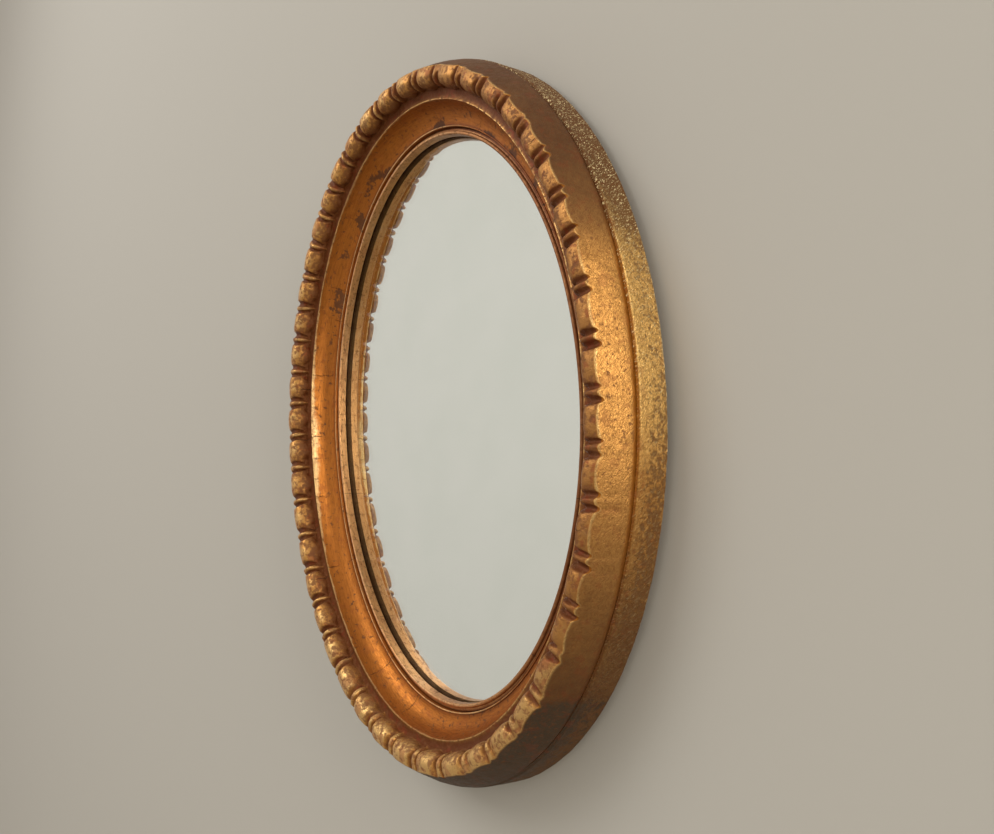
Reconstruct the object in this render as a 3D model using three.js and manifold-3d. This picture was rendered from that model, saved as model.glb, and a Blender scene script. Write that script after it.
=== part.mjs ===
import * as THREE from "three";
import { mergeVertices } from "three/addons/utils/BufferGeometryUtils.js";
import Module from "manifold-3d";

// An oval wall mirror in a carved and gilded wooden frame. The frame is glued up from two layers of
// arcs with staggered joints, and its rim is carved with a bead-and-reel row.
//
// Millimetres, +Z up. The origin is the centre of the oval on the plane of the frame's back, and the
// front of the mirror faces -Y. A place on the frame is given by three numbers:
//   inset   how far it lies inside the outer edge of the oval, square to that edge
//   height  how far it stands in front of the back plane
//   run     how far it lies along the bead row, from the top centre towards the left

// ---------------------------------------------------------------- driving dimensions

// The outer oval, at the back edge of the frame.
const FRAME_HEIGHT = 300;
const FRAME_WIDTH = 230;

// What is stacked in the rebate, from the back plane to the ledge.
const BOARD_RECESS = 1.2;
const BOARD_THICKNESS = 1.0;
const GLASS_THICKNESS = 3.0;

// Rear layer of the frame.
const REAR_LAYER_THICKNESS = 12.9;
const REAR_BAND_LEAN = 0.9;
const REAR_EDGE_EASE = 0.5;

// The turned groove round the side, where the two layers meet.
const GROOVE_DEPTH = 1.2;
const GROOVE_REAR_LIP = 0.8;
const GROOVE_FRONT_LIP = 1.2;

// Front layer, across the moulding from the outside to the sight edge.
const BAND_FOOT_LEAN = 1.2;
const BAND_LEAN = 6.3;
const BAND_CURVE = 1.4;
const BEAD_ROW_WIDTH = 8.6;
const CREST_OFFSET = 3.6;
const FLAT_WIDTH = 3.6;
const COVE_WIDTH = 7.9;
const FILLET_WIDTH = 0.6;
const FILLET_STEP = 0.3;

// Front layer, up from the ledge to the crest of the beads.
const SIGHT_WALL = 4.6;
const COVE_DROP = 9.2;
const FLAT_HOLLOW = 0.4;
const BEAD_RISE = 7.4;
const BEAD_SHOULDER = 1.0;

// The carved row: fat beads with one thin reel between every two, cut by a pair of grooves.
const BEAD_COUNT = 46;
const FIRST_REEL = 4.0;
const REEL_WIDTH = 1.4;
const REEL_SINK = 0.9;
const CUT_SPACING = 4.6;
const CUT_DEPTH = 2.4;
const CUT_AT_ARRIS = 0.6;
const HEART_OFFSET = 4.0;
const HEART_DROP = 5.4;

// Rebate and sight slip.
const REBATE_WIDTH = 9.0;
const SLIP_WIDTH = 2.8;
const SLIP_THICKNESS = 4.2;
const SLIP_STEP = 1.2;
const SLIP_BEVEL = 0.8;

// Sprigs: flat tapered nails, driven flat over the board.
const SPRIG_COUNT = 8;
const SPRIG_LENGTH = 10;
const SPRIG_WIDTH = 2.0;
const SPRIG_POINT_WIDTH = 0.9;
const SPRIG_THICKNESS = 0.6;
const SPRIG_GRIP = 6;
const SPRIG_GAP = 0.3;

// Hanger: a plate let in flush, with a rolled loop for the wire ring.
const HANGER_DROP = 11;
const PLATE_LENGTH = 36;
const PLATE_WIDTH = 8.6;
const PLATE_THICKNESS = 1.0;
const LOOP_LENGTH = 7;
const LOOP_WALL = 0.65;
const RING_WIRE = 1.8;
const RING_WIDTH = 15.4;
const RING_DROP = 9.2;
const RING_CORNER = 1.8;
const RING_STEPS = 44;
const RING_SIDES = 10;
const SCREW_FROM_END = 5.5;
const SCREW_LENGTH = 9;
const SCREW_SHANK = 2.8;
const SCREW_POINT = 0.6;
const SCREW_TAPER = 3.6;
const SCREW_HEAD = 5.2;
const SCREW_SLOT_WIDTH = 0.7;
const SCREW_SLOT_DEPTH = 0.4;
const SCREW_SLOT_TURN = 0.6;

// Clearances between pieces.
const JOINT_GAP = 0.3;
const FIT_GAP = 0.3;
const GLASS_GAP = 1.0;
const RUNNING_GAP = 0.35;
const FLUSH_DROP = 0.05;

// How far a cutting shape runs out past the face that it opens.
const OVERRUN = 1;

// ---------------------------------------------------------------- places worked out from them

const LEDGE = BOARD_RECESS + BOARD_THICKNESS + GLASS_THICKNESS;
const FILLET_HEIGHT = LEDGE + SIGHT_WALL;
const ARRIS_HEIGHT = FILLET_HEIGHT + COVE_DROP;
const CREST_HEIGHT = ARRIS_HEIGHT + BEAD_RISE;
const BAND_TOP = CREST_HEIGHT - BEAD_SHOULDER;

const ROW_INSET = BAND_LEAN + BEAD_ROW_WIDTH;
const ARRIS_INSET = ROW_INSET + FLAT_WIDTH;
const FILLET_INSET = ARRIS_INSET + COVE_WIDTH;
const SIGHT_INSET = FILLET_INSET + FILLET_WIDTH;
const REBATE_INSET = SIGHT_INSET - REBATE_WIDTH;
const SLIP_INSET = SIGHT_INSET + FIT_GAP;
const CREST_INSET = BAND_LEAN + CREST_OFFSET;

// ---------------------------------------------------------------- the oval

// A point of the oval's edge moved inwards by inset, at an angle of the ellipse.
function ovalPoint(angle, inset) {
  const halfWidth = FRAME_WIDTH / 2;
  const halfHeight = FRAME_HEIGHT / 2;
  const across = Math.cos(angle);
  const up = Math.sin(angle);
  const outwards = new THREE.Vector2(halfHeight * across, halfWidth * up).normalize();
  return new THREE.Vector2(halfWidth * across, halfHeight * up).addScaledVector(outwards, -inset);
}

// Angles of the ellipse against the length run along the crest of the beads.
const RUN_SAMPLES = 7200;
const TOP = Math.PI / 2;
const runTable = [0];
for (let i = 1, last = ovalPoint(TOP, CREST_INSET); i <= RUN_SAMPLES; i++) {
  const next = ovalPoint(TOP + (2 * Math.PI * i) / RUN_SAMPLES, CREST_INSET);
  runTable.push(runTable[i - 1] + next.distanceTo(last));
  last = next;
}
const ROUND = runTable[RUN_SAMPLES];
const PITCH = ROUND / BEAD_COUNT;

function angleAt(run) {
  const turns = Math.floor(run / ROUND);
  const rest = run - turns * ROUND;
  let low = 0;
  let high = RUN_SAMPLES;
  while (high - low > 1) {
    const middle = (low + high) >> 1;
    if (runTable[middle] <= rest) low = middle;
    else high = middle;
  }
  const share = (rest - runTable[low]) / (runTable[high] - runTable[low]);
  return TOP + 2 * Math.PI * (turns + (low + share) / RUN_SAMPLES);
}

function onFrame(run, inset, height) {
  const point = ovalPoint(angleAt(run), inset);
  return new THREE.Vector3(point.x, -height, point.y);
}

// ---------------------------------------------------------------- solids

const wasm = await Module();
wasm.setup();

function toSolid(geometry) {
  const bare = geometry.index ? geometry.toNonIndexed() : geometry.clone();
  bare.deleteAttribute("normal");
  bare.deleteAttribute("uv");
  const merged = mergeVertices(bare, 1e-4);
  return new wasm.Manifold(
    new wasm.Mesh({
      numProp: 3,
      vertProperties: merged.attributes.position.array,
      triVerts: new Uint32Array(merged.index.array),
    }),
  );
}

function toGeometry(solid) {
  const mesh = solid.getMesh();
  const geometry = new THREE.BufferGeometry();
  geometry.setAttribute("position", new THREE.BufferAttribute(mesh.vertProperties, 3));
  geometry.setIndex(new THREE.BufferAttribute(mesh.triVerts, 1));
  return geometry;
}

// Triangles between two neighbouring lines of vertices, which may have different numbers of
// stations: each triangle takes a step along the line that lags behind.
function stitch(faces, lineA, lineB) {
  let a = 0;
  let b = 0;
  while (a < lineA.length - 1 || b < lineB.length - 1) {
    const nextA = a < lineA.length - 1 ? lineA[a + 1].run : Infinity;
    const nextB = b < lineB.length - 1 ? lineB[b + 1].run : Infinity;
    if (nextA <= nextB) {
      faces.push(lineA[a].index, lineA[a + 1].index, lineB[b].index);
      a++;
    } else {
      faces.push(lineA[a].index, lineB[b + 1].index, lineB[b].index);
      b++;
    }
  }
}

// An arc of moulding between two runs. section lists its corners, clockwise as seen along the run;
// each has an inset and a height, and those with carve are pressed in by the carving.
function mouldingArc(section, from, to) {
  const positions = [];
  const faces = [];
  const lines = section.map((corner) => {
    const between = corner.carve ? carvedStations(from, to) : plainStations(from, to);
    const stations = [from, ...between, to];
    return stations.map((run) => {
      const [inset, height] = carved(corner, run);
      positions.push(...onFrame(run, inset, height).toArray());
      return { run, index: positions.length / 3 - 1, inset, height };
    });
  });
  lines.forEach((line, i) => stitch(faces, line, lines[(i + 1) % lines.length]));
  for (const end of [0, -1]) {
    const rim = lines.map((line) => line.at(end));
    const outline = rim.map((vertex) => new THREE.Vector2(vertex.inset, vertex.height));
    for (const [a, b, c] of THREE.ShapeUtils.triangulateShape(outline, [])) {
      const corners = [rim[a].index, rim[b].index, rim[c].index];
      faces.push(...(end === 0 ? corners.reverse() : corners));
    }
  }
  const geometry = new THREE.BufferGeometry();
  geometry.setAttribute("position", new THREE.Float32BufferAttribute(positions, 3));
  geometry.setIndex(faces);
  return geometry;
}

// A closed ring of moulding, with no ends.
function mouldingRing(section) {
  const positions = [];
  const faces = [];
  const stations = roundStations();
  for (const run of stations) {
    for (const { inset, height } of section) positions.push(...onFrame(run, inset, height).toArray());
  }
  const across = section.length;
  for (let i = 0; i < stations.length; i++) {
    const here = i * across;
    const there = ((i + 1) % stations.length) * across;
    for (let j = 0; j < across; j++) {
      const k = (j + 1) % across;
      faces.push(here + j, there + j, here + k, there + j, there + k, here + k);
    }
  }
  const geometry = new THREE.BufferGeometry();
  geometry.setAttribute("position", new THREE.Float32BufferAttribute(positions, 3));
  geometry.setIndex(faces);
  return geometry;
}

// Half a pitch apart: fine enough for the plain members of the moulding.
function plainStations(from, to) {
  const stations = [];
  const step = PITCH / 2;
  const first = Math.ceil((from + FIT_GAP) / step);
  for (let i = first; i * step < to - FIT_GAP; i++) stations.push(i * step);
  return stations;
}

// The same all the way round, from a quarter of a pitch before the top centre.
function roundStations() {
  return plainStations(-PITCH / 4, ROUND - PITCH / 4);
}

// ---------------------------------------------------------------- the carved row

// How deep the carver went below the crest, at a run measured from a reel's middle.
function cutDepth(run) {
  const reel = Math.round((run - FIRST_REEL) / PITCH);
  const fromReel = Math.abs(run - FIRST_REEL - reel * PITCH);
  const cut = CUT_SPACING / 2;
  const reelEdge = REEL_WIDTH / 2;
  if (fromReel <= reelEdge) return REEL_SINK;
  if (fromReel <= cut) {
    return THREE.MathUtils.mapLinear(fromReel, reelEdge, cut, REEL_SINK, CUT_DEPTH);
  }
  const fromBead = (PITCH / 2 - fromReel) / (PITCH / 2 - cut);
  return CUT_DEPTH * (1 - Math.sqrt(1 - fromBead * fromBead));
}

// Stations at the edges of each reel, in the bottoms of the cuts and over the round of each bead.
const BEAD_ROUNDS = [0.16, 0.5, 1];
function carvedStations(from, to) {
  const cut = CUT_SPACING / 2;
  const marks = [REEL_WIDTH / 2, cut, ...BEAD_ROUNDS.map((share) => cut + share * (PITCH / 2 - cut))];
  const stations = [];
  for (let reel = Math.floor(from / PITCH) - 1; reel <= Math.ceil(to / PITCH); reel++) {
    const middle = FIRST_REEL + reel * PITCH;
    for (const mark of marks) {
      stations.push(middle + mark);
      if (mark < PITCH / 2 - FIT_GAP) stations.push(middle - mark);
    }
  }
  return stations.filter((run) => run > from + FIT_GAP && run < to - FIT_GAP).sort((a, b) => a - b);
}

// Where a corner of the section lies at a run: the carving presses it towards the heart of the row.
const HEART = new THREE.Vector2(BAND_LEAN + HEART_OFFSET, BAND_TOP - HEART_DROP);
function carved(corner, run) {
  if (!corner.carve) return [corner.inset, corner.height];
  const place = new THREE.Vector2(corner.inset, corner.height);
  const inwards = HEART.clone().sub(place).normalize();
  place.addScaledVector(inwards, corner.carve * cutDepth(run));
  return [place.x, place.y];
}

// ---------------------------------------------------------------- sections of the mouldings

const corner = (inset, height, carve = 0) => ({ inset, height, carve });

// The side band rises from the groove and leans in more towards its top.
const GROOVE_FRONT = corner(BAND_FOOT_LEAN, REAR_LAYER_THICKNESS + GROOVE_FRONT_LIP);
const bandCorners = [1 / 3, 2 / 3].map((share) =>
  corner(
    THREE.MathUtils.lerp(GROOVE_FRONT.inset, BAND_LEAN, share ** BAND_CURVE),
    THREE.MathUtils.lerp(GROOVE_FRONT.height, BAND_TOP, share),
  ),
);

// Over the beads: a flat shoulder from the band's arris to the crest, then a round down to the flat.
const SHOULDER_INSET = (BAND_LEAN + CREST_INSET) / 2;
const beadCorners = [
  corner(BAND_LEAN, BAND_TOP, CUT_AT_ARRIS),
  corner(SHOULDER_INSET, CREST_HEIGHT - BEAD_SHOULDER / 4, 1),
  ...[0, 30, 56, 78].map((degrees) => {
    const turn = THREE.MathUtils.degToRad(degrees);
    return corner(
      CREST_INSET + (ROW_INSET - CREST_INSET) * Math.sin(turn),
      THREE.MathUtils.lerp(ARRIS_HEIGHT, CREST_HEIGHT, Math.cos(turn)),
      1,
    );
  }),
];

// The cove is a hollow quarter round that starts upright at the arris and ends flat at the fillet.
const coveCorners = [0, 22, 44, 66, 90].map((degrees) => {
  const turn = THREE.MathUtils.degToRad(degrees);
  return corner(
    ARRIS_INSET + COVE_WIDTH * (1 - Math.cos(turn)),
    ARRIS_HEIGHT - (COVE_DROP + FILLET_STEP) * Math.sin(turn),
  );
});

const GROOVE_INSET = REAR_BAND_LEAN + GROOVE_DEPTH;
const TONGUE_INSET = REBATE_INSET + FIT_GAP;
const frontSection = [
  corner(GROOVE_INSET, REAR_LAYER_THICKNESS),
  GROOVE_FRONT,
  ...bandCorners,
  ...beadCorners,
  corner(ROW_INSET, ARRIS_HEIGHT),
  corner(ROW_INSET + FLAT_WIDTH / 2, ARRIS_HEIGHT - FLAT_HOLLOW),
  ...coveCorners,
  corner(FILLET_INSET, FILLET_HEIGHT),
  corner(SIGHT_INSET, FILLET_HEIGHT),
  corner(SIGHT_INSET, LEDGE),
  corner(TONGUE_INSET, LEDGE),
  corner(TONGUE_INSET, REAR_LAYER_THICKNESS),
];

const rearSection = [
  corner(REAR_EDGE_EASE, 0),
  corner(0, REAR_EDGE_EASE),
  corner(REAR_BAND_LEAN, REAR_LAYER_THICKNESS - GROOVE_REAR_LIP),
  corner(GROOVE_INSET, REAR_LAYER_THICKNESS),
  corner(REBATE_INSET, REAR_LAYER_THICKNESS),
  corner(REBATE_INSET, 0),
];

// The slip's outer edge is low, beside the fillet, and its front swells to a rounded inner arris.
const SLIP_FRONT = LEDGE + SLIP_THICKNESS;
const slipSection = [
  corner(SLIP_INSET, LEDGE),
  corner(SLIP_INSET, SLIP_FRONT - SLIP_STEP),
  corner(SLIP_INSET + SLIP_WIDTH / 3, SLIP_FRONT - 0.8 * SLIP_STEP),
  corner(SLIP_INSET + SLIP_WIDTH / 2, SLIP_FRONT),
  corner(SLIP_INSET + SLIP_WIDTH - SLIP_BEVEL / 2, SLIP_FRONT - 0.1 * SLIP_BEVEL),
  corner(SLIP_INSET + SLIP_WIDTH, SLIP_FRONT - SLIP_BEVEL),
  corner(SLIP_INSET + SLIP_WIDTH, LEDGE),
];

// ---------------------------------------------------------------- materials

function finish(color, roughness, metalness) {
  return new THREE.MeshStandardMaterial({ color, roughness, metalness });
}
const carvedGilding = finish(0xb8843e, 0.42, 0.75);
const washedWood = finish(0x7a5534, 0.8, 0);
const slipGilding = finish(0xa8763a, 0.45, 0.7);
const mirrorSilver = finish(0xc8ccc2, 0.03, 1);
const brownBoard = finish(0x8a6a48, 0.9, 0);
const cutSteel = finish(0x5a5650, 0.55, 0.8);
const brass = finish(0xa98a4c, 0.35, 0.9);

const mirror = new THREE.Group();
function addPiece(name, geometry, material) {
  geometry.computeVertexNormals();
  const mesh = new THREE.Mesh(geometry, material);
  mesh.name = name;
  mirror.add(mesh);
  return mesh;
}

// ---------------------------------------------------------------- hanger and sprigs: shapes and seats

const HANGER_Z = FRAME_HEIGHT / 2 - HANGER_DROP;
const SCREW_X = PLATE_LENGTH / 2 - SCREW_FROM_END;
const WIRE_RADIUS = RING_WIRE / 2;
const BORE_RADIUS = WIRE_RADIUS + RUNNING_GAP;
const LOOP_RADIUS = BORE_RADIUS + LOOP_WALL;
const RING_AXIS_Y = WIRE_RADIUS + RUNNING_GAP + FLUSH_DROP;

// A bar with round ends that goes depth into the frame, and stands out behind the back plane.
const BAR_END_FACES = 8;
function roundEndedBar(length, width, depth, outside) {
  const end = width / 2;
  const middle = length / 2 - end;
  const outline = new THREE.Shape();
  outline.absarc(middle, 0, end, -Math.PI / 2, Math.PI / 2, false);
  outline.absarc(-middle, 0, end, Math.PI / 2, (3 * Math.PI) / 2, false);
  const bar = new THREE.ExtrudeGeometry(outline, {
    depth: depth + outside,
    bevelEnabled: false,
    curveSegments: BAR_END_FACES,
  });
  return bar.rotateX(Math.PI / 2).translate(0, outside, HANGER_Z);
}

// A round bar on the axis that the ring turns about.
const LOOP_SIDES = 20;
function barAlongX(radius, length) {
  const bar = new THREE.CylinderGeometry(radius, radius, length, LOOP_SIDES);
  return bar.rotateZ(Math.PI / 2).translate(0, RING_AXIS_Y, HANGER_Z);
}

// Turned about the screw's axis, which points out of the back. play widens it into the screw's hole.
const SCREW_SIDES = 16;
function screwBody(x, play) {
  const shank = SCREW_SHANK / 2 + play;
  const head = SCREW_HEAD / 2 + play;
  const tip = -SCREW_LENGTH - play;
  const top = play > 0 ? OVERRUN : -FLUSH_DROP;
  const profile = [
    [0, tip],
    [shank / 2, tip + SCREW_POINT],
    [shank, tip + SCREW_TAPER],
    [shank, -PLATE_THICKNESS],
    [head, -FLUSH_DROP],
    ...(play > 0 ? [[head, top]] : []),
    [0, top],
  ].map(([radius, y]) => new THREE.Vector2(radius, y));
  return new THREE.LatheGeometry(profile, SCREW_SIDES).translate(x, 0, HANGER_Z);
}

// A flat tapered nail pointing outwards along +X from the edge of the rebate.
function sprigBody(play) {
  const tip = SPRIG_GRIP + play;
  const butt = SPRIG_GRIP - SPRIG_LENGTH;
  const outline = new THREE.Shape();
  outline.moveTo(butt, -SPRIG_WIDTH / 2 - play);
  outline.lineTo(tip, -SPRIG_POINT_WIDTH / 2 - play);
  outline.lineTo(tip, SPRIG_POINT_WIDTH / 2 + play);
  outline.lineTo(butt, SPRIG_WIDTH / 2 + play);
  const front = BOARD_RECESS - SPRIG_GAP + play;
  const back = play > 0 ? -OVERRUN : front - SPRIG_THICKNESS;
  const nail = new THREE.ExtrudeGeometry(outline, { depth: front - back, bevelEnabled: false });
  return nail.translate(0, 0, back).rotateX(Math.PI / 2);
}

const sprigPlaces = Array.from({ length: SPRIG_COUNT }, (_, i) => {
  const angle = angleAt(((i + 0.5) * ROUND) / SPRIG_COUNT);
  const foot = ovalPoint(angle, REBATE_INSET);
  const outwards = foot.clone().sub(ovalPoint(angle, REBATE_INSET + 1));
  return { foot, turn: -Math.atan2(outwards.y, outwards.x) };
});

// ---------------------------------------------------------------- frame, rear layer

const FRONT_ARCS = ["upper_left", "lower_left", "lower_right", "upper_right"];
const REAR_ARCS = ["top", "left", "bottom", "right"];

// The front layer's joints lie in the cut beside a reel, about a quarter of the row apart. Those of
// the rear layer lie half an arc before them.
function frontJoint(arc) {
  const reel = Math.round((arc * BEAD_COUNT) / FRONT_ARCS.length);
  return FIRST_REEL + reel * PITCH + CUT_SPACING / 2;
}
const rearJoint = (arc) => (frontJoint(arc - 1) + frontJoint(arc)) / 2;

const rearCuts = [
  ...sprigPlaces.map(({ foot, turn }) => sprigBody(FIT_GAP).rotateY(turn).translate(foot.x, 0, foot.y)),
  roundEndedBar(PLATE_LENGTH + 2 * FIT_GAP, PLATE_WIDTH + 2 * FIT_GAP, PLATE_THICKNESS, OVERRUN),
  ...[-1, 1].map((side) => screwBody(side * SCREW_X, FIT_GAP)),
  barAlongX(LOOP_RADIUS + FIT_GAP, LOOP_LENGTH + 2 * FIT_GAP),
].map(toSolid);

REAR_ARCS.forEach((side, i) => {
  const from = rearJoint(i) + JOINT_GAP / 2;
  const to = rearJoint(i + 1) - JOINT_GAP / 2;
  let arc = toSolid(mouldingArc(rearSection, from, to));
  for (const cut of rearCuts) arc = arc.subtract(cut);
  addPiece(`rear_ring_${side}`, toGeometry(arc), washedWood);
});

// ---------------------------------------------------------------- frame, front layer with the carved rim

FRONT_ARCS.forEach((quarter, i) => {
  const from = frontJoint(i) + JOINT_GAP / 2;
  const to = frontJoint(i + 1) - JOINT_GAP / 2;
  addPiece(`carved_ring_${quarter}`, mouldingArc(frontSection, from, to), carvedGilding);
});

addPiece("sight_slip", mouldingRing(slipSection), slipGilding);

// ---------------------------------------------------------------- glass and board

// A flat oval plate: a rim of two edges, closed by a fan on each face.
function ovalPlate(inset, back, front) {
  const stations = roundStations();
  const count = stations.length;
  const rims = [back, front].map((height) => stations.map((run) => onFrame(run, inset, height)));
  const centres = [back, front].map((height) => new THREE.Vector3(0, -height, 0));
  const positions = [...rims.flat(), ...centres].flatMap((point) => point.toArray());
  const [backCentre, frontCentre] = [2 * count, 2 * count + 1];
  const faces = [];
  for (let i = 0; i < count; i++) {
    const j = (i + 1) % count;
    faces.push(i, j, i + count, j, j + count, i + count);
    faces.push(backCentre, j, i, frontCentre, i + count, j + count);
  }
  const geometry = new THREE.BufferGeometry();
  geometry.setAttribute("position", new THREE.Float32BufferAttribute(positions, 3));
  geometry.setIndex(faces);
  return geometry;
}

const BOARD_FRONT = BOARD_RECESS + BOARD_THICKNESS;
addPiece("mirror_glass", ovalPlate(REBATE_INSET + GLASS_GAP, BOARD_FRONT, LEDGE), mirrorSilver);
addPiece("backing_board", ovalPlate(REBATE_INSET + FIT_GAP, BOARD_RECESS, BOARD_FRONT), brownBoard);

sprigPlaces.forEach(({ foot, turn }, i) => {
  const sprig = addPiece(`sprig_${i + 1}`, sprigBody(0), cutSteel);
  sprig.position.set(foot.x, 0, foot.y);
  sprig.rotation.y = turn;
});

// ---------------------------------------------------------------- hanger

let plate = toSolid(roundEndedBar(PLATE_LENGTH, PLATE_WIDTH, PLATE_THICKNESS, 0));
plate = plate.add(toSolid(barAlongX(LOOP_RADIUS, LOOP_LENGTH)));
plate = plate.subtract(toSolid(barAlongX(BORE_RADIUS, 2 * LOOP_LENGTH)));
for (const side of [-1, 1]) {
  plate = plate.subtract(toSolid(screwBody(side * SCREW_X, FIT_GAP)));
}
addPiece("hanger_plate", toGeometry(plate), brass);

for (const [side, name] of [[-1, "left"], [1, "right"]]) {
  const x = side * SCREW_X;
  const slot = new THREE.BoxGeometry(2 * SCREW_HEAD, 2 * SCREW_SLOT_DEPTH, SCREW_SLOT_WIDTH);
  slot.rotateY(side * SCREW_SLOT_TURN).translate(x, -FLUSH_DROP, HANGER_Z);
  const screw = toSolid(screwBody(x, 0)).subtract(toSolid(slot));
  addPiece(`hanger_screw_${name}`, toGeometry(screw), brass);
}

// The ring is a wire bent to a D: a straight bar that turns in the loop, and a bow hanging from it.
function wireRing() {
  const halfWidth = (RING_WIDTH - RING_WIRE) / 2;
  const bend = new THREE.Path();
  bend.moveTo(-halfWidth + RING_CORNER, 0);
  bend.lineTo(halfWidth - RING_CORNER, 0);
  bend.absarc(halfWidth - RING_CORNER, -RING_CORNER, RING_CORNER, Math.PI / 2, 0, true);
  bend.absellipse(0, -RING_CORNER, halfWidth, RING_DROP - RING_CORNER, 0, -Math.PI, true);
  bend.absarc(-halfWidth + RING_CORNER, -RING_CORNER, RING_CORNER, Math.PI, Math.PI / 2, true);
  const route = bend.getSpacedPoints(RING_STEPS).slice(0, -1);
  const positions = [];
  const faces = [];
  route.forEach((point, i) => {
    const before = route.at(i - 1);
    const after = route[(i + 1) % route.length];
    const along = after.clone().sub(before).normalize();
    const here = i * RING_SIDES;
    const there = ((i + 1) % route.length) * RING_SIDES;
    for (let k = 0; k < RING_SIDES; k++) {
      const turn = (2 * Math.PI * k) / RING_SIDES;
      const out = WIRE_RADIUS * Math.cos(turn);
      const x = point.x - along.y * out;
      const y = RING_AXIS_Y + WIRE_RADIUS * Math.sin(turn);
      const z = HANGER_Z + point.y + along.x * out;
      positions.push(x, y, z);
      const next = (k + 1) % RING_SIDES;
      faces.push(here + k, there + k, here + next, here + next, there + k, there + next);
    }
  });
  const geometry = new THREE.BufferGeometry();
  geometry.setAttribute("position", new THREE.Float32BufferAttribute(positions, 3));
  geometry.setIndex(faces);
  return geometry;
}
addPiece("hanging_ring", wireRing(), brass);

export default mirror;
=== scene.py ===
import math

import bpy
import numpy as np
from mathutils import Matrix, Vector, noise


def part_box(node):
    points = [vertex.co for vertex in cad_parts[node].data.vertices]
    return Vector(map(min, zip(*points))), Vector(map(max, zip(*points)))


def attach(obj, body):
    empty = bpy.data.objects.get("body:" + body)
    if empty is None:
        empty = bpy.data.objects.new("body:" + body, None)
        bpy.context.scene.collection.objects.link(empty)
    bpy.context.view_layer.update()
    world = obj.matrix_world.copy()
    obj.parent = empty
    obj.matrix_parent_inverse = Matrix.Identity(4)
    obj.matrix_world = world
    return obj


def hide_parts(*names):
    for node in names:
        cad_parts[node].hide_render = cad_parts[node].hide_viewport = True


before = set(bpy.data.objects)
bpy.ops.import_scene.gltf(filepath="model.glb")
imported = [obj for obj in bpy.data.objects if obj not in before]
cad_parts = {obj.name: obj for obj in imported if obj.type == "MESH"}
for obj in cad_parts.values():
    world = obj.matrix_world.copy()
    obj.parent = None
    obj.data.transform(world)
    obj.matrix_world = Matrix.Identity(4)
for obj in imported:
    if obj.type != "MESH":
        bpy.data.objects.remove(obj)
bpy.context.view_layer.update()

MM = 0.001

# ------------------------------------------------------------ rear layer: bare wood
# Four arcs of softwood, sawn to the oval and glued end to end. Their back is left bare under a thin
# brown wash, with the pocket of the hanger, the slots of the sprigs and the glue joints open to view.
REAR_ARCS = ["rear_ring_top", "rear_ring_left", "rear_ring_bottom", "rear_ring_right"]
WASHED_WOOD = (0.235, 0.140, 0.070)
WOOD_VESSEL = (0.090, 0.048, 0.022)
BRUSHED_WASH = (0.120, 0.068, 0.034)
GRAIN_STRETCH = 14
GRAIN_SLOPES = (0.0, math.pi / 2, 0.03, math.pi / 2 + 0.04)


def new_material(name):
    """An empty node material with its Principled BSDF, ready for the finish of one piece."""
    material = bpy.data.materials.new(name)
    material.use_nodes = True
    return material, material.node_tree, material.node_tree.nodes["Principled BSDF"]


def node(tree, kind, settings=None, **inputs):
    """A node of a tree, with its settings and with each input set to a value or linked to an output."""
    made = tree.nodes.new("ShaderNode" + kind)
    for key, value in (settings or {}).items():
        setattr(made, key, value)
    for key, value in inputs.items():
        socket = made.inputs[int(key[1:])] if key[0] == "i" and key[1:].isdigit() else made.inputs[key]
        if isinstance(value, bpy.types.NodeSocket):
            tree.links.new(value, socket)
        else:
            socket.default_value = value
    return made


def maths(tree, operation, first, second=0.0, clamp=False):
    """One step of arithmetic on two values or outputs."""
    return node(tree, "Math", {"operation": operation, "use_clamp": clamp}, i0=first, i1=second).outputs[0]


def blend(tree, share, first, second, mode="MIX"):
    """A colour between two colours, by a share from 0 to 1."""
    mixed = node(tree, "Mix", {"data_type": "RGBA", "blend_type": mode}, i0=share, i6=first, i7=second)
    return mixed.outputs[2]


def ramp(tree, value, low, high):
    """0 below low, 1 above high and a smooth slope between them."""
    made = node(tree, "MapRange", {"interpolation_type": "SMOOTHSTEP"}, i0=value, i1=low, i2=high)
    return made.outputs[0]


def rgba(colour):
    return (*colour, 1.0)


def grain_across(tree, slope):
    """Object space turned by slope about the depth and drawn out along the grain."""
    place = node(tree, "TexCoord").outputs["Object"]
    turned = node(tree, "VectorRotate", {"rotation_type": "Y_AXIS"}, Vector=place, Angle=slope).outputs[0]
    return node(tree, "Mapping", Vector=turned, Scale=(1 / GRAIN_STRETCH, 1, 1)).outputs[0]


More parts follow.
